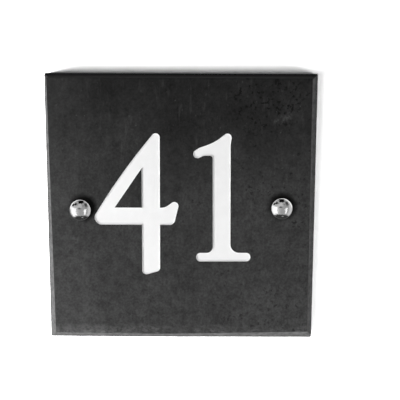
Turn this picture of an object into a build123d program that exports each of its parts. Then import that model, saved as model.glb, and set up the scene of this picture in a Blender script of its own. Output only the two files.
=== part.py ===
from build123d import *
import math
import os

# A square slate house number, fixed to a wall by two screws with domed caps.
# The digits 4 and 1 are routed into the face and painted.
# Frame: the origin is the centre of the back face, which lies on the wall.
# +X is to the right and +Z up as the digits are read, and +Y goes into the wall.

# Slate
PLAQUE_WIDTH = 150.0
PLAQUE_HEIGHT = 150.0
SLATE_THICKNESS = 10.0
CORNER_WEAR = 0.8           # radius worn on the four upright corners
BACK_ARRIS = 0.5            # chamfer that takes the sharp edge off the back

# Layout of the face: a row of cap, 4, 1 and cap, centred across the slate
CAP_TO_FOUR = 2.15
DIGIT_GAP = 8.2
ONE_TO_CAP = 11.25
TOP_MARGIN = 32.7           # from the slate's top edge to the top of the digits
LEFT_HOLE_DROP = 0.9        # the holes were drilled by eye, a little off mid-height
RIGHT_HOLE_RISE = 0.5

# Bevel round the face, ground by hand: its width changes along each edge
BEVEL_SLOPE = 0.7           # depth for each millimetre of width
TOP_BEVEL = 2.65
RIGHT_BEVEL_UPPER = 3.2
RIGHT_BEVEL_LOWER = 2.8
FOOT_BEVEL_RIGHT = 4.4
FOOT_BEVEL_MIDDLE = 2.5     # where two passes of the grinder meet
FOOT_BEVEL_LEFT = 3.0
LEFT_BEVEL_LOWER = 3.4
LEFT_BEVEL_UPPER = 1.3
FOOT_MEETING = 64.5         # from the left corner to where the two passes meet

# Routed digits
POCKET_DEPTH = 0.5
PAINT_THICKNESS = 0.2
CUTTER_RADIUS = 2.3         # round cutter: it leaves this radius in outward corners

# Digit 4, with its origin where the stem's left side meets the foot of the bar
FOUR_STEM = 10.1
FOUR_BAR = 9.7
FOUR_APEX = 55.4            # height of the point that the cutter rounds off
FOUR_BOW = 2.4              # how far the diagonal's middle is bent outward
FOUR_STRAIGHT = 9.5         # straight length left at each end of the bent diagonal
FOUR_TOE = 29.7             # reach of the toe to the left of the stem
FOUR_TOE_RADIUS = 4.0
FOUR_LEG_LEFT = 29.3        # the leg's slanted end, below the bar
FOUR_LEG_RIGHT = 26.35
FOUR_LEVEL_STROKE = 8.4     # the diagonal's width, measured level at the bar
FOUR_PLUMB_STROKE = 11.3    # and measured upright at the stem
FOUR_SPUR_BASE = 7.8        # the spur at the right end of the bar
FOUR_SPUR_BASE_RADIUS = 3.0
FOUR_SPUR_TIP_OUT = 11.8
FOUR_SPUR_TIP_UP = 6.55     # above the top of the bar
FOUR_WAVE_START = 2.75
FOUR_WAVE_RADIUS = 7.0

# Digit 1, with its origin where the stem's left side meets the line under the foot
ONE_STEM = 9.9
ONE_FOOT_LEFT = 9.35
ONE_FOOT_RIGHT = 11.3
ONE_FOOT_FLAT = 0.35        # left between the two corners that the cutter rounds at each end
ONE_BRACKET_LEFT = 3.6
ONE_BRACKET_RIGHT = 5.0
ONE_APEX_OUT = 1.3          # the point that the cutter rounds off, right of the stem
ONE_APEX_UP = 75.25
ONE_FLARE_DROP = 9.4        # the stem's right side flares from this far below the apex
ONE_FLARE_RADIUS = 10.0
ONE_BEND_IN = 1.2           # the flag's upper side bends here, right of the stem's left side
ONE_BEND_DROP = 8.0         # and below the apex
ONE_BEND_REACH = 4.9        # length that the bend takes up on either side of its corner
ONE_BROW_OUT = 7.55         # left of the stem
ONE_BROW_DROP = 11.0        # below the apex
ONE_BROW_RADIUS = 4.0
ONE_TIP_OUT = 3.95          # the tip from the brow, the chin from the tip, the throat from the chin
ONE_TIP_DROP = 2.6
ONE_CHIN_IN = 2.05
ONE_CHIN_DROP = 3.75
ONE_NOSE_FLAT = 0.2         # left between the rounded tip and the rounded chin
ONE_THROAT_IN = 4.45
ONE_THROAT_RISE = 2.05
ONE_THROAT_RADIUS = 4.0
ONE_ARMPIT_RADIUS = 1.7
ONE_LEAN = 0.4              # degrees that the digit was set out of plumb

# Fixing screws: countersunk, slotted, with a tapped hole for the cap
HEAD_DIAMETER = 8.0
HEAD_RIM = 0.3
HEAD_SINK = 0.3             # head below the face, so that the cap seats on the slate
SHANK_DIAMETER = 4.2
THREAD_DIAMETER = 3.8       # over the crests of the cut thread
THREAD_STANDOFF = 0.5       # the plain shank reaches this far behind the slate
SCREW_LENGTH = 38.0
POINT_LENGTH = 5.0
TIP_DIAMETER = 0.4
SLOT_WIDTH = 1.2
SLOT_DEPTH = 1.0
LEFT_SLOT_ANGLE = 25.0      # each screw was driven until tight
RIGHT_SLOT_ANGLE = -40.0
HEAD_CLEARANCE = 0.1
SHANK_CLEARANCE = 0.4

# Domed screw caps
CAP_DIAMETER = 12.0
CAP_RIM = 0.8
CAP_RISE = 2.7
CAP_EDGE = 0.25             # radius where the rim turns into the dome
STUD_DIAMETER = 2.5
STUD_LENGTH = 5.0
STUD_CHAMFER = 0.3
STUD_CLEARANCE = 0.05
STUD_END_ROOM = 0.6

# A 90 degree head narrows by one millimetre of radius for each millimetre of depth
HEAD_CONE = (HEAD_DIAMETER - SHANK_DIAMETER) / 2
FACE = Plane.XZ.offset(SLATE_THICKNESS)


def rounded_outline(corners):
    """A closed face from corners given as x, z and radius. Radius 0 leaves a sharp corner."""
    points = [(x, z) for x, z, radius in corners]
    radii = [radius for x, z, radius in corners]
    return Sketch() + make_face(FilletPolyline(*points, radius=radii, close=True))


def half_turn(before, corner, after):
    """Tangent of half the turn at a corner: the length that a rounding takes up, per unit of radius."""
    arriving = Vector(*corner) - Vector(*before)
    leaving = Vector(*after) - Vector(*corner)
    return math.tan(math.radians(arriving.get_angle(leaving)) / 2)


def four_outline():
    bar_top = FOUR_BAR
    toe = Vector(-FOUR_TOE, 0)
    apex = Vector(FOUR_STEM, FOUR_APEX)
    outward = (apex - toe).rotate(Axis.Z, 90).normalized()
    bend = (toe + apex) / 2 + outward * FOUR_BOW
    bow_reach = (apex - bend).length - FOUR_STRAIGHT
    bow_radius = bow_reach / half_turn(toe, bend, apex)
    outline = rounded_outline([
        (0, -FOUR_LEG_LEFT, CUTTER_RADIUS),
        (FOUR_STEM, -FOUR_LEG_RIGHT, CUTTER_RADIUS),
        (FOUR_STEM, 0, 0),
        (FOUR_STEM + FOUR_SPUR_BASE, 0, FOUR_SPUR_BASE_RADIUS),
        (FOUR_STEM + FOUR_SPUR_TIP_OUT, bar_top + FOUR_SPUR_TIP_UP, CUTTER_RADIUS),
        (FOUR_STEM + FOUR_WAVE_START, bar_top, FOUR_WAVE_RADIUS),
        (FOUR_STEM, bar_top, 0),
        (apex.X, apex.Y, CUTTER_RADIUS),
        (bend.X, bend.Y, bow_radius),
        (toe.X, toe.Y, FOUR_TOE_RADIUS),
        (0, 0, 0),
    ])
    # The counter keeps its distance from the outer side of the diagonal.
    outer_at_bar = toe.X + (bend.X - toe.X) * bar_top / bend.Y
    outer_at_stem = bend.Y - bend.X * (apex.Y - bend.Y) / (apex.X - bend.X)
    counter = rounded_outline([
        (outer_at_bar + FOUR_LEVEL_STROKE, bar_top, 0),
        (0, bar_top, 0),
        (0, outer_at_stem - FOUR_PLUMB_STROKE, 0),
    ])
    return outline - counter


def one_outline():
    foot_top = 2 * CUTTER_RADIUS + ONE_FOOT_FLAT
    apex = Vector(ONE_STEM + ONE_APEX_OUT, ONE_APEX_UP)
    bend = Vector(ONE_BEND_IN, apex.Y - ONE_BEND_DROP)
    brow = Vector(-ONE_BROW_OUT, apex.Y - ONE_BROW_DROP)
    tip = brow + Vector(-ONE_TIP_OUT, -ONE_TIP_DROP)
    chin = tip + Vector(ONE_CHIN_IN, -ONE_CHIN_DROP)
    throat = chin + Vector(ONE_THROAT_IN, ONE_THROAT_RISE)
    bend_radius = ONE_BEND_REACH / half_turn(apex, bend, brow)
    nose_turns = half_turn(brow, tip, chin) + half_turn(tip, chin, throat)
    nose_radius = ((chin - tip).length - ONE_NOSE_FLAT) / nose_turns
    outline = rounded_outline([
        (-ONE_FOOT_LEFT, 0, CUTTER_RADIUS),
        (ONE_STEM + ONE_FOOT_RIGHT, 0, CUTTER_RADIUS),
        (ONE_STEM + ONE_FOOT_RIGHT, foot_top, CUTTER_RADIUS),
        (ONE_STEM, foot_top, ONE_BRACKET_RIGHT),
        (ONE_STEM, apex.Y - ONE_FLARE_DROP, ONE_FLARE_RADIUS),
        (apex.X, apex.Y, CUTTER_RADIUS),
        (bend.X, bend.Y, bend_radius),
        (brow.X, brow.Y, ONE_BROW_RADIUS),
        (tip.X, tip.Y, nose_radius),
        (chin.X, chin.Y, nose_radius),
        (throat.X, throat.Y, ONE_THROAT_RADIUS),
        (0, throat.Y, ONE_ARMPIT_RADIUS),
        (0, foot_top, ONE_BRACKET_LEFT),
        (-ONE_FOOT_LEFT, foot_top, CUTTER_RADIUS),
    ])
    return Rot(0, 0, ONE_LEAN) * outline


def placed(outline, left, top):
    """Moves a digit so that its extents start at the given left and top."""
    box = outline.bounding_box()
    return Pos(left - box.min.X, top - box.max.Y) * outline


def ground_edge(slab, start, end, start_width, end_width):
    """Grinds one bevel. The edge runs clockwise as the face is seen, and its ends are x, z."""
    along = Vector(end[0] - start[0], 0, end[1] - start[1]).normalized()
    inward = Vector(along.Z, 0, -along.X)
    face_start = Vector(start[0], -SLATE_THICKNESS, start[1])
    face_end = Vector(end[0], -SLATE_THICKNESS, end[1])
    inner_start = face_start + inward * start_width
    inner_end = face_end + inward * end_width
    lower_start = face_start + Vector(0, BEVEL_SLOPE * start_width, 0)
    run = inner_end - inner_start
    plane = Plane(origin=inner_start, x_dir=run, z_dir=run.cross(lower_start - inner_start))
    return split(slab, bisect_by=plane, keep=Keep.BOTTOM)


def dressed_slab(width, height):
    slab = extrude(Plane.XZ * RectangleRounded(width, height, CORNER_WEAR), amount=SLATE_THICKNESS)
    slab = chamfer(slab.faces().sort_by(Axis.Y)[-1].edges(), BACK_ARRIS)
    left, right, top, foot = -width / 2, width / 2, height / 2, -height / 2
    meeting = left + FOOT_MEETING
    slab = ground_edge(slab, (left, top), (right, top), TOP_BEVEL, TOP_BEVEL)
    slab = ground_edge(slab, (right, top), (right, foot), RIGHT_BEVEL_UPPER, RIGHT_BEVEL_LOWER)
    slab = ground_edge(slab, (right, foot), (meeting, foot), FOOT_BEVEL_RIGHT, FOOT_BEVEL_MIDDLE)
    slab = ground_edge(slab, (meeting, foot), (left, foot), FOOT_BEVEL_MIDDLE, FOOT_BEVEL_LEFT)
    return ground_edge(slab, (left, foot), (left, top), LEFT_BEVEL_LOWER, LEFT_BEVEL_UPPER)


def turned(profile):
    """A turned piece: the profile lies in radius and height, and the axis is the local Z."""
    return revolve(Plane.XZ * profile, axis=Axis.Z)


def fixing_hole():
    """Countersunk hole, cut from the face down the local Z, clear of the screw all round."""
    mouth = HEAD_DIAMETER / 2 + HEAD_CLEARANCE
    bore = SHANK_DIAMETER / 2 + SHANK_CLEARANCE
    rim_foot = HEAD_SINK + HEAD_RIM
    cone_foot = rim_foot + mouth - bore
    return turned(Polygon(
        (0, 0), (mouth, 0), (mouth, -rim_foot), (bore, -cone_foot),
        (bore, -SLATE_THICKNESS), (0, -SLATE_THICKNESS), align=None))


def screw(slot_angle):
    """Countersunk wood screw, with its head's top at the local origin and its thread left plain."""
    head = HEAD_DIAMETER / 2
    shank = SHANK_DIAMETER / 2
    thread = THREAD_DIAMETER / 2
    cone_foot = HEAD_RIM + HEAD_CONE
    shank_end = SLATE_THICKNESS - HEAD_SINK + THREAD_STANDOFF
    point_start = SCREW_LENGTH - POINT_LENGTH
    blank = turned(Polygon(
        (0, 0), (head, 0), (head, -HEAD_RIM), (shank, -cone_foot), (shank, -shank_end),
        (thread, -shank_end), (thread, -point_start), (TIP_DIAMETER / 2, -SCREW_LENGTH),
        (0, -SCREW_LENGTH), align=None))
    slot = Rot(0, 0, slot_angle) * Box(2 * HEAD_DIAMETER, SLOT_WIDTH, 2 * SLOT_DEPTH)
    tapped_depth = STUD_LENGTH - HEAD_SINK + STUD_END_ROOM
    tapped_radius = STUD_DIAMETER / 2 + STUD_CLEARANCE
    tapped = Pos(0, 0, -tapped_depth / 2) * Cylinder(tapped_radius, tapped_depth)
    return blank - slot - tapped


def dome_cap():
    """Domed cap with its stud, its flat underside at the local origin."""
    radius = CAP_DIAMETER / 2
    stud = STUD_DIAMETER / 2
    height = CAP_RIM + CAP_RISE
    dome_radius = (radius ** 2 + CAP_RISE ** 2) / (2 * CAP_RISE)
    blank = Rectangle(radius, height, align=Align.MIN)
    profile = blank & (Pos(0, height - dome_radius) * Circle(dome_radius))
    profile = fillet(profile.vertices().sort_by(Axis.X)[-2:].sort_by(Axis.Y)[-1], CAP_EDGE)
    stud_profile = Polygon(
        (0, 0), (stud, 0), (stud, STUD_CHAMFER - STUD_LENGTH),
        (stud - STUD_CHAMFER, -STUD_LENGTH), (0, -STUD_LENGTH), align=None)
    return turned(profile) + turned(stud_profile)


def on_face(x, z, depth=0.0):
    """A place on the face, with the local Z pointing out of it."""
    return Plane(origin=(x, depth - SLATE_THICKNESS, z), x_dir=(1, 0, 0), z_dir=(0, -1, 0))


def sunk(outline, depth):
    return extrude(FACE * outline, amount=-depth)


def paint_coat(outline):
    """The coat on the floor and the walls of a routed digit."""
    inside = offset(outline, amount=-PAINT_THICKNESS, kind=Kind.ARC)
    return sunk(outline, POCKET_DEPTH) - sunk(inside, POCKET_DEPTH - PAINT_THICKNESS)


def write(name, shape):
    solids = shape.solids()
    part = solids[0] if len(solids) == 1 else Compound(children=solids)
    part.label = name
    export_step(part, f"parts/{name}.step")


os.makedirs("parts", exist_ok=True)

four = four_outline()
one = one_outline()
four_width = four.bounding_box().size.X
one_width = one.bounding_box().size.X
cap_to_cap = CAP_TO_FOUR + four_width + DIGIT_GAP + one_width + ONE_TO_CAP
right_hole = (cap_to_cap + CAP_DIAMETER) / 2
left_hole = -right_hole
digit_top = PLAQUE_HEIGHT / 2 - TOP_MARGIN
four_left = CAP_TO_FOUR - cap_to_cap / 2
four = placed(four, four_left, digit_top)
one = placed(one, four_left + four_width + DIGIT_GAP, digit_top)

fixings = {
    "left": (left_hole, -LEFT_HOLE_DROP, LEFT_SLOT_ANGLE),
    "right": (right_hole, RIGHT_HOLE_RISE, RIGHT_SLOT_ANGLE),
}

slate = dressed_slab(PLAQUE_WIDTH, PLAQUE_HEIGHT)
for digit in (four, one):
    slate = slate - sunk(digit, POCKET_DEPTH)
for x, z, slot_angle in fixings.values():
    slate = slate - on_face(x, z) * fixing_hole()

write("slate_plaque", slate)
write("numeral_4_paint", paint_coat(four))
write("numeral_1_paint", paint_coat(one))
for side, (x, z, slot_angle) in fixings.items():
    write(f"{side}_screw", on_face(x, z, HEAD_SINK) * screw(slot_angle))
    write(f"{side}_dome_cap", on_face(x, z) * dome_cap())
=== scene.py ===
import math
import bmesh
import bpy
from mathutils import Matrix, Vector


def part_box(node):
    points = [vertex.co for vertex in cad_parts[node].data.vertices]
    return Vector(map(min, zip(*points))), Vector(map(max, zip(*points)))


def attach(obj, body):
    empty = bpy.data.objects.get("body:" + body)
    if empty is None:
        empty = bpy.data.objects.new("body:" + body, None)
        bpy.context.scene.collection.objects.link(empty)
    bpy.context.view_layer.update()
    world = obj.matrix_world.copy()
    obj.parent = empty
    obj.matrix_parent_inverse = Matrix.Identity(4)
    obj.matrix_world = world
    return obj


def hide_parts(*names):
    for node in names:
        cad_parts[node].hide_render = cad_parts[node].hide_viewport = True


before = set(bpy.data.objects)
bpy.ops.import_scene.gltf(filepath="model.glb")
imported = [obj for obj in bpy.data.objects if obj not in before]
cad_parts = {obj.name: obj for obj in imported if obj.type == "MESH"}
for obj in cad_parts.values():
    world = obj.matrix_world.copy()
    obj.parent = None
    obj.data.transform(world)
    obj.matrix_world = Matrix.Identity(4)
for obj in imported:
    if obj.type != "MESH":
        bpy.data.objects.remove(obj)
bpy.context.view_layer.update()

# The slate: a sawn and rubbed slab of dark grey natural slate, with its face edges ground by hand.
# Two digits are routed into the face, and two countersunk holes take the fixing screws.
# Its back lies on the wall, and the face looks along -Y.
slab_low, slab_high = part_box("slate_plaque")
FACE_Y = slab_low.y
EDGE = slab_high.x


def grey(level):
    """A neutral grey, because nothing on the plaque has a hue."""
    return level, level, level, 1


SLATE_DARK = grey(0.014)
SLATE_PALE = grey(0.052)
SLATE_PIT = grey(0.006)
SLATE_FLECK = grey(0.085)
SLATE_GLOSS = 0.14
# Near black: the painted shadow and grime round the caps, the painted shade of the top bevel, and black
# specks.
PAINTED_SHADE_AND_GRIME = grey(0.003)
SCUFF = grey(0.15)
# Each grain has the size of its features in metres, the range of noise that counts as none and as
# full, and how the noise is layered and stretched.
FINE_GRAIN = dict(size=0.0013, low=0.34, high=0.66, detail=6, roughness=0.7)
MOTTLE = dict(size=0.0048, low=0.36, high=0.64, detail=7, roughness=0.66)
STREAK = dict(size=0.007, low=0.36, high=0.66, detail=6, roughness=0.62, stretch=(1.0, 1.0, 0.35))
# How much of the slate's grey each of those three decides.
FINE_SHARE = 0.46
MOTTLE_SHARE = 0.34
STREAK_SHARE = 0.2
# Painted light: the face is darker towards its top and lighter towards its lower left corner, where the
# low lamps on the left light it most.
# The painted light goes from 0, the shaded tint, to 1, the lit one, and each side adds its own; a cloudy
# change varies it all over.
SHADED_TINT = grey(0.42)
LIT_TINT = grey(1.5)
LIT_AT_FOOT = 0.98
LIT_AT_MIDDLE = 0.63
LIT_AT_TOP = -0.09
LIT_AT_LEFT = 0.22
LIT_AT_RIGHT = 0.12
LIT_INWARD = -0.02
SIDE_LIT_ENDS = 0.010
CLOUD = dict(size=0.032, low=0.3, high=0.7, detail=5, roughness=0.6)
CLOUD_LIT_CHANGE = 0.2
# Small pits crowd together towards the upper right corner: where, across and up, and how far.
PITTED = (0.0470, 0.0600)
PITTED_REACH = 0.0230
PITTED_CORE = 0.4
# Past these distances across and up the pits are at their fewest or their most.
CROWD_X = (0.02, 0.06)
CROWD_AT_RIGHT = 0.35
PITS_X = (-0.03, 0.02)
PITS_AT_LEFT = 0.3
PITS_Z = (-0.04, 0.04)
PITS_AT_FOOT = 0.6
PITS_AT_TOP = 0.9
PIT = dict(size=0.0022, low=0.60, high=0.70, detail=3)
PIT_CROWD = dict(size=0.02, low=0.4, high=0.62, detail=3)
SPECK = dict(size=0.0018, low=0.61, high=0.66, detail=1, roughness=0.5)
SPECK_CORE = 0.7
SPECK_STRENGTH = 0.9
PALE_STREAK = dict(size=0.004, low=0.6, high=0.76, detail=4, roughness=0.6, stretch=(1.6, 1.0, 0.3))
PALE_STREAK_STRENGTH = 0.25
FLECK = dict(size=0.0016, low=0.66, high=0.78, detail=3, roughness=0.6, stretch=(1.0, 1.0, 0.6))
FLECK_STRENGTH = 0.5
# Grazes on the face: across, up and radius in metres, and how pale each is.
GRAZES = (
    (0.0592, 0.0522, 0.0032, 0.28),
    (0.0560, 0.0503, 0.0036, 0.25),
    (0.0520, 0.0490, 0.0030, 0.16),
    (-0.0586, -0.0182, 0.0026, 0.28),
    (-0.0610, -0.0165, 0.0020, 0.22),
    (-0.0530, -0.0610, 0.0100, 0.17),
)
GRAZE_CORE = 0.2
GRAZE_GRAIN = dict(size=0.0020, low=0.40, high=0.62, detail=5, roughness=0.65)
# A dark ring lies against each cap, mostly above it: painted shadow, with some grime. Its numbers: how
# far off the cap's centre, right and up, how far past the cap it reaches, how ragged its rim is, and how
# much of the slate's colour shows under its thickest part.
CAP_SHADOW_AND_GRIME_SHIFT = {"left": (0.0017, 0.0014), "right": (-0.0001, 0.0013)}
CAP_SHADOW_AND_GRIME_REACH = 0.0031
CAP_SHADOW_AND_GRIME_RAGGED = 0.0004
SLATE_UNDER_CAP_SHADOW = 0.05
# The foot of the face is worn pale, most at its left end: heights, distances across and strengths.
WORN_FROM_Z = -0.0664
WORN_TO_Z = -0.0708
WORN_LEFT_X = -0.068
WORN_RIGHT_X = -0.012
WORN_AT_LEFT = 0.48
WORN_AT_RIGHT = 0.08
# The fine grain and the mottle add up, and from the first to the second sum the wear grows so much.
WORN_GRAIN_SUM = (0.5, 1.5)
WORN_BY_GRAIN = (0.35, 1.6)
WORN_PATCH = dict(size=0.0030, low=0.50, high=0.61, detail=5, roughness=0.7, stretch=(0.6, 1.0, 1.2))
WORN_PATCH_CROWD = dict(size=0.014, low=0.38, high=0.56, detail=2)
WORN_PATCH_STRENGTH = 0.6
# A thin film of dust lies along the left edge of the face.
FILM_FROM_X = -0.072
FILM_TO_X = -0.052
FILM_STRENGTH = 0.055
# The ground bevels start just behind the face. Their outer part is darker on the right and the top:
# painted shade, where those bevels face away from the light.
GROUND_DARK = grey(0.085)
GROUND_PALE = grey(0.175)
GROUND_SHADED = grey(0.040)
GROUND_GRAIN = dict(size=0.0014, low=0.32, high=0.68, detail=5, roughness=0.65, stretch=(0.6, 1.0, 0.6))
GROUND_DEPTH = (0.00004, 0.00014)
OUTER_DEPTH = (0.0003, 0.0014)
RIGHT_BEVEL_X = (0.0715, 0.0725)
RIGHT_SHADE_FOOT_Z = -0.05
RIGHT_SHADE_STRENGTH = 0.4
# The painted shade of the top bevel ends softly at its mitres, between these distances past each.
MITRE_EDGE = (-0.0003, 0.0001)
# The relief of the rubbed slate: a fine one, and a wave that is higher than it.
RELIEF = dict(size=0.0008, detail=5, roughness=0.6)
WAVE = dict(size=0.006, detail=3, roughness=0.5)
WAVE_HEIGHT = 1.5
RELIEF_STRENGTH = 0.3
RELIEF_DEPTH = 0.0002
# How dull the slate is from the mottle's dark parts to its pale ones, and how much duller the ring of
# painted shadow and grime by the caps.
SLATE_DULL = (0.5, 0.62)
CAP_SHADOW_AND_GRIME_DULL = 0.35
# Worn edges: the width and steps of each rounding, and the degrees past which an edge is sharp.
# The outer edges are those that lie farther out than the outer zone's start.
ARRIS_WIDTH = 0.00012
ARRIS_STEPS = 2
ARRIS_ANGLE = 30
OUTER_ARRIS = 0.0004
OUTER_STEPS = 3
OUTER_ANGLE = 12
OUTER_ZONE = 0.0700
# A CAD node's corners that are closer than this are one, and so are its triangles that lie flat
# with each other within this angle in radians.
MERGE_DISTANCE = 1e-6
FLAT_ANGLE = 0.0005


def new_material(name):
    """An empty material with its Principled shader and Object coordinates."""
    material = bpy.data.materials.new(name)
    material.use_nodes = True
    shader = material.node_tree.nodes["Principled BSDF"]
    place = material.node_tree.nodes.new("ShaderNodeTexCoord")
    return material, shader, place.outputs["Object"]


def add(material, kind, *links, **settings):
    """Adds one node. Each link is an input's name or number and the socket or value that goes in."""
    node = material.node_tree.nodes.new("ShaderNode" + kind)
    for key, value in settings.items():
        setattr(node, key, value)
    for key, value in links:
        if isinstance(value, bpy.types.NodeSocket):
            material.node_tree.links.new(value, node.inputs[key])
        else:
            node.inputs[key].default_value = value
    return node


def into(material, socket, value):
    """Leads a value into a shader's socket."""
    material.node_tree.links.new(value, socket)


def axes(material, place):
    """The distance across, the depth and the height of a place."""
    return add(material, "SeparateXYZ", (0, place)).outputs[:3]


def times(material, value, *others):
    """The product of all the values."""
    for other in others:
        value = add(material, "Math", (0, value), (1, other), operation="MULTIPLY").outputs[0]
    return value


def plus(material, value, *others):
    """The sum of all the values."""
    for other in others:
        value = add(material, "Math", (0, value), (1, other), operation="ADD").outputs[0]
    return value


def spread(material, value, low, high, to_low=0.0, to_high=1.0):
    """The value's range from low to high, spread over a new range."""
    return add(material, "MapRange", ("Value", value), ("From Min", low), ("From Max", high),
               ("To Min", to_low), ("To Max", to_high)).outputs["Result"]


def blended(material, share, one, other, way="MIX"):
    """Two colours mixed by a share."""
    return add(material, "Mix", (0, share), (6, one), (7, other),
               data_type="RGBA", blend_type=way).outputs[2]


def noise(material, place, size, detail=4.0, roughness=0.55, stretch=(1, 1, 1)):
    """Noise whose features are about the given size in metres."""
    moved = add(material, "Mapping", ("Vector", place), ("Scale", stretch))
    return add(material, "TexNoise", ("Vector", moved.outputs[0]), ("Scale", 1 / size),
               ("Detail", detail), ("Roughness", roughness)).outputs["Fac"]


def grain(material, place, low, high, **layers):
    """Noise with its range from low to high spread over none to full."""
    return spread(material, noise(material, place, **layers), low, high)


def distance_from(material, place, across, up):
    """How far a place is from a point on the face."""
    return add(material, "VectorMath", (0, place), (1, (across, FACE_Y, up)),
               operation="DISTANCE").outputs["Value"]


def bumped(material, shader, height, strength, distance):
    """Gives the surface a fine relief."""
    bump = add(material, "Bump", ("Height", height), ("Strength", strength), ("Distance", distance))
    into(material, shader.inputs["Normal"], bump.outputs[0])


def placed(name, data):
    """A new object in the scene that holds the given mesh, lamp or camera."""
    thing = bpy.data.objects.new(name, data)
    bpy.context.scene.collection.objects.link(thing)
    return thing


def middle_of(node):
    """Where the middle of a CAD node is, across and up."""
    low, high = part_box(node)
    return (low.x + high.x) / 2, (low.z + high.z) / 2


def merged_copy(node, name):
    """A copy of a CAD node with its doubles merged, so that its edges can be worked."""
    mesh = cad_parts[node].data.copy()
    mesh.name = name
    work = bmesh.new()
    work.from_mesh(mesh)
    bmesh.ops.remove_doubles(work, verts=work.verts, dist=MERGE_DISTANCE)
    bmesh.ops.dissolve_limit(work, angle_limit=FLAT_ANGLE, verts=work.verts, edges=work.edges)
    work.to_mesh(mesh)
    work.free()
    mesh.materials.clear()
    return placed(name, mesh)


def soften(piece, width):
    """A small rounding on every sharp edge, and smooth shading elsewhere."""
    rounding = piece.modifiers.new("worn arris", "BEVEL")
    rounding.width = width
    rounding.segments = ARRIS_STEPS
    rounding.limit_method = "ANGLE"
    rounding.angle_limit = math.radians(ARRIS_ANGLE)
    piece.data.shade_smooth()
    piece.modifiers.new("flat faces", "WEIGHTED_NORMAL").keep_sharp = True


def painted_light(material, place, colour):
    """Tints the face with painted light, darker at its top and lighter at its lower left, with a cloudy
    change all over.
    """
    across, _, up = axes(material, place)
    cloud = grain(material, place, **CLOUD)
    lit_share = plus(material,
                spread(material, up, -EDGE, 0, LIT_AT_FOOT, LIT_AT_MIDDLE),
                spread(material, up, 0, EDGE, 0, LIT_AT_TOP - LIT_AT_MIDDLE),
                spread(material, across, -EDGE, -SIDE_LIT_ENDS, LIT_AT_LEFT, LIT_INWARD),
                spread(material, across, SIDE_LIT_ENDS, EDGE, 0, LIT_AT_RIGHT),
                spread(material, cloud, 0, 1, -CLOUD_LIT_CHANGE, CLOUD_LIT_CHANGE))
    tint = blended(material, lit_share, SHADED_TINT, LIT_TINT)
    return blended(material, 1.0, colour, tint, "MULTIPLY")


def pitted(material, place, colour):
    """Small dark pits, few at the lower left and crowded at the upper right."""
    across, _, up = axes(material, place)
    away = distance_from(material, place, *PITTED)
    crowd = plus(material, grain(material, place, **PIT_CROWD),
                 spread(material, away, PITTED_REACH, PITTED_REACH * PITTED_CORE),
                 spread(material, across, *CROWD_X, 0, CROWD_AT_RIGHT))
    pit = times(material, spread(material, crowd, 0, 1), grain(material, place, **PIT),
                spread(material, across, *PITS_X, PITS_AT_LEFT, 1),
                spread(material, up, *PITS_Z, PITS_AT_FOOT, PITS_AT_TOP))
    return blended(material, pit, colour, SLATE_PIT)


def flecked(material, place, colour):
    """Pale streaks and flecks all over, and black specks among the crowded pits."""
    streak = times(material, grain(material, place, **PALE_STREAK), PALE_STREAK_STRENGTH)
    colour = blended(material, streak, colour, SLATE_FLECK)
    away = distance_from(material, place, *PITTED)
    speck = times(material, spread(material, away, PITTED_REACH, PITTED_REACH * SPECK_CORE),
                  grain(material, place, **SPECK), SPECK_STRENGTH)
    colour = blended(material, speck, colour, PAINTED_SHADE_AND_GRIME)
    fleck = times(material, grain(material, place, **FLECK), FLECK_STRENGTH)
    return blended(material, fleck, colour, SLATE_FLECK)


def grazed(material, place, colour):
    """Pale grazes that the grain breaks up."""
    broken = grain(material, place, **GRAZE_GRAIN)
    for across, up, radius, strength in GRAZES:
        away = distance_from(material, place, across, up)
        graze = times(material, spread(material, away, radius, radius * GRAZE_CORE), broken, strength)
        colour = blended(material, graze, colour, SCUFF)
    return colour


def free_of_cap_shadow(material, place, mottle):
    """How free the slate is of the dark ring of painted shadow and grime: 1 on the open face, and less
    against each cap.
    """
    unshadowed = 1.0
    for side, (right, higher) in CAP_SHADOW_AND_GRIME_SHIFT.items():
        low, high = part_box(f"{side}_dome_cap")
        radius = (high.x - low.x) / 2
        across, up = middle_of(f"{side}_dome_cap")
        away = distance_from(material, place, across + right, up + higher)
        away = plus(material, away, times(material, mottle, CAP_SHADOW_AND_GRIME_RAGGED))
        unshadowed = times(material, unshadowed,
                      spread(material, away, radius, radius + CAP_SHADOW_AND_GRIME_REACH, SLATE_UNDER_CAP_SHADOW, 1))
    return unshadowed


def worn(material, place, colour, both_grains):
    """The pale, patchy foot of the face, and the film of dust along its left edge."""
    across, _, up = axes(material, place)
    patch = times(material, grain(material, place, **WORN_PATCH),
                  grain(material, place, **WORN_PATCH_CROWD), WORN_PATCH_STRENGTH)
    rubbed = times(material,
                   spread(material, across, WORN_LEFT_X, WORN_RIGHT_X, WORN_AT_LEFT, WORN_AT_RIGHT),
                   spread(material, both_grains, *WORN_GRAIN_SUM, *WORN_BY_GRAIN))
    share = times(material, spread(material, up, WORN_FROM_Z, WORN_TO_Z),
                  plus(material, patch, rubbed))
    colour = blended(material, share, colour, SCUFF)
    film = spread(material, across, FILM_FROM_X, FILM_TO_X, FILM_STRENGTH, 0)
    return blended(material, film, colour, SCUFF)


def behind_face(material, depth, start, end):
    """0 at the first distance behind the face and 1 at the second."""
    return spread(material, depth, FACE_Y + start, FACE_Y + end)


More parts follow.
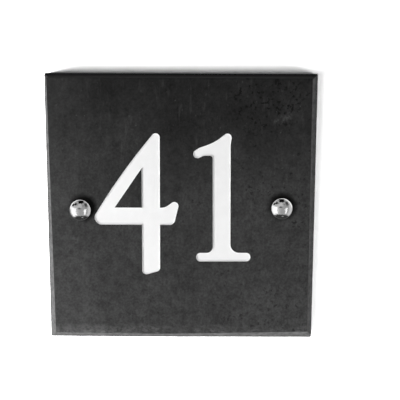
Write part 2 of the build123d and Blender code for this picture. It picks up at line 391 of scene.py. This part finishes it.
def ground_grey(material, place):
    """The grey of the ground bevels, with painted shade on the right one and on the top one."""
    across, depth, up = axes(material, place)
    colour = blended(material, grain(material, place, **GROUND_GRAIN), GROUND_DARK, GROUND_PALE)
    outer = behind_face(material, depth, *OUTER_DEPTH)
    # Painted shade on the outer part of the right bevel, fading out towards its foot.
    shaded_right = times(material, outer, spread(material, across, *RIGHT_BEVEL_X),
                     spread(material, up, RIGHT_SHADE_FOOT_Z, 0, 0, RIGHT_SHADE_STRENGTH))
    colour = blended(material, shaded_right, colour, GROUND_SHADED)
    # The mitre at each upper corner runs where the height equals the distance across.
    sideways = add(material, "Math", (0, across), operation="ABSOLUTE").outputs[0]
    past_mitre = plus(material, up, times(material, sideways, -1))
    shaded_top = spread(material, past_mitre, *MITRE_EDGE)
    # Painted shade on the top bevel, darkest on its outer part.
    return blended(material, shaded_top, colour, blended(material, outer, GROUND_SHADED, PAINTED_SHADE_AND_GRIME))


def slate_material():
    """Rubbed slate with the marks that age has left on its face, painted light across the face, painted
    shadow and grime round the caps, and its ground bevels with painted shade on two of them.
    """
    material, shader, place = new_material("natural slate")
    fine = grain(material, place, **FINE_GRAIN)
    mottle = grain(material, place, **MOTTLE)
    streak = grain(material, place, **STREAK)
    share = plus(material, times(material, fine, FINE_SHARE), times(material, mottle, MOTTLE_SHARE),
                 times(material, streak, STREAK_SHARE))
    colour = blended(material, share, SLATE_DARK, SLATE_PALE)
    # The face's painted light comes first, then its pits, flecks and grazes.
    for treatment in (painted_light, pitted, flecked, grazed):
        colour = treatment(material, place, colour)
    # Painted shadow with some grime: a dark ring against each cap, mostly above it.
    unshadowed = free_of_cap_shadow(material, place, mottle)
    colour = blended(material, unshadowed, PAINTED_SHADE_AND_GRIME, colour)
    colour = worn(material, place, colour, plus(material, fine, mottle))
    depth = axes(material, place)[1]
    on_bevel = behind_face(material, depth, *GROUND_DEPTH)
    colour = blended(material, on_bevel, colour, ground_grey(material, place))
    into(material, shader.inputs["Base Color"], colour)
    dull = plus(material, spread(material, unshadowed, 0, 1, CAP_SHADOW_AND_GRIME_DULL, 0),
                spread(material, mottle, 0, 1, *SLATE_DULL))
    into(material, shader.inputs["Roughness"], dull)
    shader.inputs["Specular IOR Level"].default_value = SLATE_GLOSS
    wave = times(material, noise(material, place, **WAVE), WAVE_HEIGHT)
    height = plus(material, noise(material, place, **RELIEF), wave)
    bumped(material, shader, height, RELIEF_STRENGTH, RELIEF_DEPTH)
    return material


def round_outer_edges(piece):
    """Rounds the edges that the grinder left round the slab, and not those of the pockets or holes."""
    work = bmesh.new()
    work.from_mesh(piece.data)
    edges = [edge for edge in work.edges
             if edge.is_manifold and edge.calc_face_angle(0) > math.radians(OUTER_ANGLE)
             and all(max(abs(vert.co.x), abs(vert.co.z)) > OUTER_ZONE for vert in edge.verts)]
    bmesh.ops.bevel(work, geom=edges, offset=OUTER_ARRIS, offset_type="OFFSET", segments=OUTER_STEPS,
                    profile=0.5, affect="EDGES", material=-1, clamp_overlap=True)
    work.to_mesh(piece.data)
    work.free()


slate = merged_copy("slate_plaque", "slate")
round_outer_edges(slate)
soften(slate, ARRIS_WIDTH)
slate.data.materials.append(slate_material())
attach(slate, "root")
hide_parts("slate_plaque")

# The digits: white enamel brushed into the routed pockets, a thin coat on their floors and walls.
# It dries with a slightly uneven, satin surface.
PAINT_WHITE = grey(0.93)
PAINT_SHADE = grey(0.91)
PAINT_PATCH = dict(size=0.004, low=0.35, high=0.65, detail=3)
PAINT_DULL = (0.3, 0.42)
BRUSHED = dict(size=0.0016, detail=3, roughness=0.5, stretch=(1.0, 1.0, 0.2))
BRUSHED_STRENGTH = 0.15
BRUSHED_DEPTH = 0.0001
COAT_EDGE = 0.00005


def paint_material():
    """Brushed enamel, a little duller where it is whiter."""
    material, shader, place = new_material("white enamel")
    patch = grain(material, place, **PAINT_PATCH)
    into(material, shader.inputs["Base Color"], blended(material, patch, PAINT_SHADE, PAINT_WHITE))
    into(material, shader.inputs["Roughness"], spread(material, patch, 0, 1, *PAINT_DULL))
    bumped(material, shader, noise(material, place, **BRUSHED), BRUSHED_STRENGTH, BRUSHED_DEPTH)
    return material


enamel = paint_material()
for digit in ("numeral_4_paint", "numeral_1_paint"):
    coat = merged_copy(digit, digit.replace("numeral", "digit"))
    soften(coat, COAT_EDGE)
    coat.data.materials.append(enamel)
    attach(coat, "root")
    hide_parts(digit)

# The wood screws: zinc plated steel, countersunk, with a slot and a tapped hole for the cap.
# The thread is cut below the plain shank, and the slate hides the heads under their caps.
THREAD_CREST = 0.0019
THREAD_CORE = 0.00135
THREAD_PITCH = 0.0018
# A thread's shape along one turn: its radius, and how far along the turn as a share of the pitch.
THREAD_SHAPE = ((THREAD_CORE, 0.0), (THREAD_CORE, 0.42), (THREAD_CREST, 0.66), (THREAD_CREST, 0.74),
                (THREAD_CORE, 1.0))
THREAD_START_Y = 0.0005
POINT_START_Y = 0.0233
POINT_Y = 0.0283
# The thread rises to its full height over this many turns, and the tip is this share of its core.
RUN_IN_TURNS = 1.5
BLUNT = 0.08
STEPS_PER_TURN = 32
# How far a thread's flat end runs into the shank or the cap that it stands on.
OVERLAP = 0.0001
CUT_DISTANCE = 1e-6
# Corners of a thread that are closer than its pitch divided by this are one.
THREAD_MERGE = 200
SCREW_ANGLE = 35
ZINC_DARK = grey(0.52)
ZINC_PALE = grey(0.66)
ZINC_DULL = (0.32, 0.22)
ZINC_CLOUD = dict(size=0.0025, low=0.3, high=0.7)


def cut_flat(work, point, outward):
    """Cuts off all that lies past a plane, and gives the edges along the cut."""
    cut = bmesh.ops.bisect_plane(work, geom=work.verts[:] + work.edges[:] + work.faces[:],
                                 dist=CUT_DISTANCE, plane_co=point, plane_no=outward, clear_outer=True)
    return [item for item in cut["geom_cut"] if isinstance(item, bmesh.types.BMEdge)]


def outline(work, points):
    """A line of edges through points given as radius and height."""
    verts = [work.verts.new((radius, 0, height)) for radius, height in points]
    edges = [work.edges.new(pair) for pair in zip(verts, verts[1:])]
    return verts + edges


def thread(shape, pitch, length):
    """Spins one pitch of a thread up the local Z, then cuts both ends flat and closes them."""
    work = bmesh.new()
    ridge = outline(work, [(radius, share * pitch - pitch) for radius, share in shape])
    steps = math.ceil((length / pitch + 1) * STEPS_PER_TURN)
    bmesh.ops.spin(work, geom=ridge, cent=(0, 0, 0), axis=(0, 0, 1), steps=steps,
                   dvec=(0, 0, pitch / STEPS_PER_TURN), angle=math.tau * steps / STEPS_PER_TURN)
    bmesh.ops.remove_doubles(work, verts=work.verts, dist=pitch / THREAD_MERGE)
    cut_flat(work, (0, 0, 0), (0, 0, -1))
    cut_flat(work, (0, 0, length), (0, 0, 1))
    ends = [edge for edge in work.edges if edge.is_boundary]
    bmesh.ops.holes_fill(work, edges=ends, sides=0)
    bmesh.ops.recalc_face_normals(work, faces=work.faces)
    return work


def screw_thread():
    """The screw's thread up the local Z, which runs in from the shank and ends in a point."""
    length = POINT_Y - THREAD_START_Y
    worm = thread(THREAD_SHAPE, THREAD_PITCH, length)
    for vert in worm.verts:
        along = vert.co.z
        to_point = min(1.0, (length - along) / (POINT_Y - POINT_START_Y))
        run_in = min(1.0, max(0.0, along / (RUN_IN_TURNS * THREAD_PITCH)))
        radius = math.hypot(vert.co.x, vert.co.y)
        ridge = max(0.0, radius - THREAD_CORE) * run_in
        wanted = (THREAD_CORE + ridge) * max(BLUNT, to_point)
        vert.co.x *= wanted / radius
        vert.co.y *= wanted / radius
    return worm


def join_in(source, target):
    """Adds one bmesh to another, and frees it."""
    scratch = bpy.data.meshes.new("scratch")
    source.to_mesh(scratch)
    source.free()
    target.from_mesh(scratch)
    bpy.data.meshes.remove(scratch)


def plated_material():
    """Bright zinc with a faint cloud."""
    material, shader, place = new_material("bright zinc plate")
    cloud = grain(material, place, **ZINC_CLOUD)
    into(material, shader.inputs["Base Color"], blended(material, cloud, ZINC_DARK, ZINC_PALE))
    into(material, shader.inputs["Roughness"], spread(material, cloud, 0, 1, *ZINC_DULL))
    shader.inputs["Metallic"].default_value = 1
    return material


def wood_screw(side):
    """The CAD head and shank, with a real thread in place of the plain one behind the slate."""
    node = f"{side}_screw"
    across, up = middle_of(node)
    head = merged_copy(node, f"{side}_wood_screw")
    work = bmesh.new()
    work.from_mesh(head.data)
    rim = cut_flat(work, (0, THREAD_START_Y + OVERLAP, 0), (0, 1, 0))
    bmesh.ops.edgeloop_fill(work, edges=rim)
    worm = screw_thread()
    # Local Z becomes +Y: the thread runs from the shank into the wall.
    bmesh.ops.transform(worm, verts=worm.verts,
                        matrix=Matrix.Translation((across, THREAD_START_Y, up))
                        @ Matrix.Rotation(math.radians(-90), 4, "X"))
    join_in(worm, work)
    work.to_mesh(head.data)
    work.free()
    head.data.shade_smooth()
    head.data.set_sharp_from_angle(angle=math.radians(SCREW_ANGLE))
    head.data.materials.append(zinc)
    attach(head, "root")
    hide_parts(node)


zinc = plated_material()
for side in ("left", "right"):
    wood_screw(side)

# The domed caps: pressed brass, polished and chrome plated, each with a threaded stud inside.
# The stud screws into the tapped head until the flat rim meets the slate.
CAP_RADIUS = 0.006
CAP_RIM = 0.0008
CAP_RISE = 0.0027
CAP_EDGE = 0.00025
CAP_CHAMFER = 0.0001
CAP_SEGMENTS = 128
CAP_EDGE_STEPS = 6
CAP_DOME_STEPS = 40
CAP_MERGE = 1e-7
CAP_ANGLE = 40
STUD_CREST = 0.00125
STUD_CORE = 0.00104
STUD_PITCH = 0.00045
STUD_LENGTH = 0.005
STUD_SHAPE = ((STUD_CORE, 0.0), (STUD_CREST, 0.45), (STUD_CREST, 0.55), (STUD_CORE, 1.0))
CHROME_BRIGHT = grey(0.86)
CHROME_HAZY = grey(0.8)
CHROME_DULL = (0.05, 0.1)
HAZE = dict(size=0.003, low=0.4, high=0.7, detail=3)
RIPPLE = dict(size=0.0016, detail=2)
RIPPLE_STRENGTH = 0.1
RIPPLE_DEPTH = 0.00003


def chrome_material():
    """Polished chrome with a thin haze and a slight ripple."""
    material, shader, place = new_material("polished chrome")
    shader.inputs["Metallic"].default_value = 1
    haze = grain(material, place, **HAZE)
    into(material, shader.inputs["Base Color"], blended(material, haze, CHROME_BRIGHT, CHROME_HAZY))
    into(material, shader.inputs["Roughness"], spread(material, haze, 0, 1, *CHROME_DULL))
    bumped(material, shader, noise(material, place, **RIPPLE), RIPPLE_STRENGTH, RIPPLE_DEPTH)
    return material


def dome_profile():
    """From the middle outward under the rim, up its side and over the dome, as radius and height."""
    dome = (CAP_RADIUS ** 2 + CAP_RISE ** 2) / (2 * CAP_RISE)
    crown = CAP_RIM + CAP_RISE
    edge_centre = CAP_RADIUS - CAP_EDGE
    tangent = math.acos(edge_centre / (dome - CAP_EDGE))
    edge_height = crown - dome + (dome - CAP_EDGE) * math.sin(tangent)
    profile = [(0, 0), (CAP_RADIUS - CAP_CHAMFER, 0), (CAP_RADIUS, CAP_CHAMFER)]
    for step in range(CAP_EDGE_STEPS + 1):
        turn = tangent * step / CAP_EDGE_STEPS
        profile.append((edge_centre + CAP_EDGE * math.cos(turn), edge_height + CAP_EDGE * math.sin(turn)))
    for step in range(1, CAP_DOME_STEPS):
        turn = tangent + (math.pi / 2 - tangent) * step / CAP_DOME_STEPS
        profile.append((dome * math.cos(turn), crown - dome + dome * math.sin(turn)))
    profile.append((0, crown))
    return profile


def turned(profile):
    """Spins points given as radius and height about the local Z."""
    work = bmesh.new()
    bmesh.ops.spin(work, geom=outline(work, profile), cent=(0, 0, 0), axis=(0, 0, 1), dvec=(0, 0, 0),
                   angle=math.tau, steps=CAP_SEGMENTS, use_merge=True)
    bmesh.ops.remove_doubles(work, verts=work.verts, dist=CAP_MERGE)
    bmesh.ops.recalc_face_normals(work, faces=work.faces)
    return work


def cap_stud():
    """The threaded stud, down the local Z from just inside the cap."""
    stud = thread(STUD_SHAPE, STUD_PITCH, STUD_LENGTH + OVERLAP)
    for vert in stud.verts:
        vert.co.z = OVERLAP - vert.co.z
    bmesh.ops.recalc_face_normals(stud, faces=stud.faces)
    return stud


def domed_cap(side):
    """A turned cap with its stud, stood on the face."""
    node = f"{side}_dome_cap"
    across, up = middle_of(node)
    cap = turned(dome_profile())
    join_in(cap_stud(), cap)
    bmesh.ops.recalc_face_normals(cap, faces=cap.faces)
    # Local Z becomes -Y: the dome stands out of the face.
    bmesh.ops.transform(cap, verts=cap.verts,
                        matrix=Matrix.Translation((across, FACE_Y, up))
                        @ Matrix.Rotation(math.radians(90), 4, "X"))
    mesh = bpy.data.meshes.new(f"{side}_domed_cap")
    cap.to_mesh(mesh)
    cap.free()
    mesh.shade_smooth()
    mesh.set_sharp_from_angle(angle=math.radians(CAP_ANGLE))
    mesh.materials.append(chrome)
    piece = placed(f"{side}_domed_cap", mesh)
    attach(piece, "root")
    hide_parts(node)


chrome = chrome_material()
for side in ("left", "right"):
    domed_cap(side)

# The setting: the white wall that the plaque is fixed to, and a pale floor far below it.
# Seen from behind, the wall lets the view through, so that the slate's back shows.
# To the camera it is brighter than white, as an overexposed wall is, and its shadows stay pale.
STAGE_WHITE = 0.9
STAGE_SHADE = 0.995 * STAGE_WHITE
SEEN_WHITE = grey(3.35)
STAGE_DULL = 0.9
STAGE_GLOSS = 0.2
STAGE_GRAIN = dict(size=0.01, low=0.3, high=0.7, detail=3)
STAGE_SIZE = 6
WALL_GAP = 0.00005
FLOOR_Z = -1.2


def stage_material(name):
    """A matt white that is clear from behind."""
    material, shader, place = new_material(name)
    patch = grain(material, place, **STAGE_GRAIN)
    colour = blended(material, patch, grey(STAGE_WHITE), grey(STAGE_SHADE))
    seen = add(material, "LightPath").outputs["Is Camera Ray"]
    into(material, shader.inputs["Base Color"], blended(material, seen, colour, SEEN_WHITE))
    shader.inputs["Roughness"].default_value = STAGE_DULL
    shader.inputs["Specular IOR Level"].default_value = STAGE_GLOSS
    clear = add(material, "BsdfTransparent").outputs[0]
    back = add(material, "NewGeometry").outputs["Backfacing"]
    mixed = add(material, "MixShader", (0, back), (1, shader.outputs[0]), (2, clear))
    into(material, material.node_tree.nodes["Material Output"].inputs["Surface"], mixed.outputs[0])
    return material


def stage_card(name, place, material):
    """A large flat card that the caps don't mirror."""
    work = bmesh.new()
    bmesh.ops.create_grid(work, x_segments=2, y_segments=2, size=STAGE_SIZE / 2)
    bmesh.ops.transform(work, matrix=place, verts=work.verts)
    mesh = bpy.data.meshes.new(name)
    work.to_mesh(mesh)
    work.free()
    mesh.materials.append(material)
    piece = placed(name, mesh)
    piece.visible_glossy = False


wall_place = Matrix.Translation((0, WALL_GAP, 0)) @ Matrix.Rotation(math.radians(90), 4, "X")
stage_card("wall", wall_place, stage_material("white wall"))
stage_card("floor", Matrix.Translation((0, 0, FLOOR_Z)), stage_material("pale floor"))

# The light: two soft lamps low on the left, a weak one in front, and a small one near on the right.
# One more behind the wall is for views from behind. The caps mirror only what the next section sets.
# Each lamp has its azimuth, elevation, width, height, power in watts and distance in metres.
LAMPS = (
    ("left lamp", -64, -14, 0.22, 0.40, 11.2, 1),
    ("lamp below", -58, -46, 0.4, 0.4, 5.9, 1),
    ("front lamp", -25, -5, 0.3, 0.2, 1.15, 1),
    ("right lamp", 64, -14, 0.16, 0.16, 0.66, 0.5),
    ("back lamp", 205, 30, 0.8, 0.8, 7.0, 1),
)


def direction(azimuth, elevation):
    """Azimuth 0 is in front of the plaque, and 90 to its right. Elevation is above the horizon."""
    turn = math.radians(azimuth)
    rise = math.radians(elevation)
    return Vector((math.sin(turn) * math.cos(rise), -math.cos(turn) * math.cos(rise), math.sin(rise)))


for name, azimuth, elevation, width, height, power, distance in LAMPS:
    towards = direction(azimuth, elevation)
    light = bpy.data.lights.new(name, "AREA")
    light.shape = "RECTANGLE"
    light.size = width
    light.size_y = height
    light.energy = power
    lamp = placed(name, light)
    lamp.location = distance * towards
    lamp.rotation_mode = "QUATERNION"
    lamp.rotation_quaternion = towards.to_track_quat("Z", "Y")
    lamp.visible_glossy = False

# The surroundings, which only mirrors see: bright panels on the left and right, dark bars high up
# and a dark foot. Behind the wall's plane they are a bright brink. Light comes from them dimly.
# Each panel has its azimuths, its elevations and its soft edge in degrees, and its grey.
MIDDLE = grey(0.36)
DIM = grey(0.07)
BRINK = grey(1.1)
BRINK_NORTH = (-0.16, -0.08)
BRINK_ZENITH = (-0.1, 0.1)
PANELS = (
    # Large and even: left, front, right and overhead.
    ((-100, -12), (-50, 50), 12, 0.50),
    ((-28, 16), (18, 47), 5, 0.55),
    ((62, 120), (-48, 70), 8, 0.62),
    ((-180, 180), (70, 91), 2, 0.42),
    # The two brightest.
    ((-84, -33), (-43, 13), 4, 1.20),
    ((29, 46), (-40, 3), 2.5, 1.20),
    # Dark bars high up.
    ((-34, 42), (52, 70), 1.5, 0.002),
    ((-62, 78), (67, 82), 2, 0.01),
    ((-86, -62), (19, 36), 2, 0.015),
    ((-64, -40), (30, 50), 2, 0.01),
    # Smaller dark shapes in front.
    ((-36, -20), (37, 43), 2, 0.10),
    ((8, 32), (29, 35), 2, 0.12),
    ((-17, 5), (6, 16), 3, 0.08),
    ((40, 68), (20, 50), 6, 0.06),
    # The dark foot, and a paler strip on it.
    ((-180, 180), (-91, -50), 2, 0.045),
    ((8, 44), (-70, -62), 2, 0.40),
)
# The panels' edges waver by this many degrees sideways, and by this share of it up and down.
WAVER = 8
WAVER_UP = 0.7
WAVER_NOISE = dict(size=0.16, detail=4, roughness=0.6)


def within(material, value, low, high, edge):
    """1 between low and high, 0 outside them, with a soft edge at each."""
    return times(material, spread(material, value, low - edge, low + edge),
                 spread(material, value, high + edge, high - edge))


world = bpy.data.worlds.new("surroundings")
bpy.context.scene.world = world
world.use_nodes = True
way = add(world, "TexCoord").outputs["Generated"]
east, north, zenith = axes(world, way)
turn = add(world, "Math", (0, east), (1, times(world, north, -1)), operation="ARCTAN2").outputs[0]
rise = add(world, "Math", (0, zenith), operation="ARCSINE").outputs[0]
waver = spread(world, noise(world, way, **WAVER_NOISE), 0.3, 0.7, -WAVER, WAVER)
turn = plus(world, times(world, turn, math.degrees(1)), waver)
rise = plus(world, times(world, rise, math.degrees(1)), times(world, waver, WAVER_UP))
mirrored = MIDDLE
for azimuths, elevations, edge, level in PANELS:
    share = times(world, within(world, turn, *azimuths, edge), within(world, rise, *elevations, edge))
    mirrored = blended(world, share, mirrored, grey(level))
brink = times(world, spread(world, north, *BRINK_NORTH), spread(world, zenith, *BRINK_ZENITH))
mirrored = blended(world, brink, mirrored, BRINK)
rays = add(world, "LightPath").outputs
colour = blended(world, rays["Is Glossy Ray"], DIM, mirrored)
colour = blended(world, rays["Is Camera Ray"], colour, grey(1))
into(world, world.node_tree.nodes["Background"].inputs["Color"], colour)

# The camera stands a little right of and above the plaque, and looks slightly down on it.
# Its place, turns and lens were worked out from the plaque's square outline in the photograph.
CAMERA_AT = (0.013962, -0.425886, 0.066787)
CAMERA_PAN = 0.4514
CAMERA_TILT = -8.4242
CAMERA_ROLL = 0.2399
CAMERA_LENS = 67.712
SENSOR_WIDTH = 36
NEAREST_SEEN = 0.01

lens = bpy.data.cameras.new("camera")
lens.lens = CAMERA_LENS
lens.sensor_width = SENSOR_WIDTH
lens.clip_start = NEAREST_SEEN
camera = placed("camera", lens)
camera.matrix_world = (Matrix.Translation(CAMERA_AT)
                       @ Matrix.Rotation(math.radians(CAMERA_PAN), 4, "Z")
                       @ Matrix.Rotation(math.radians(90 + CAMERA_TILT), 4, "X")
                       @ Matrix.Rotation(math.radians(CAMERA_ROLL), 4, "Z"))
bpy.context.scene.camera = camera
bpy.context.scene.view_settings.view_transform = "Standard"
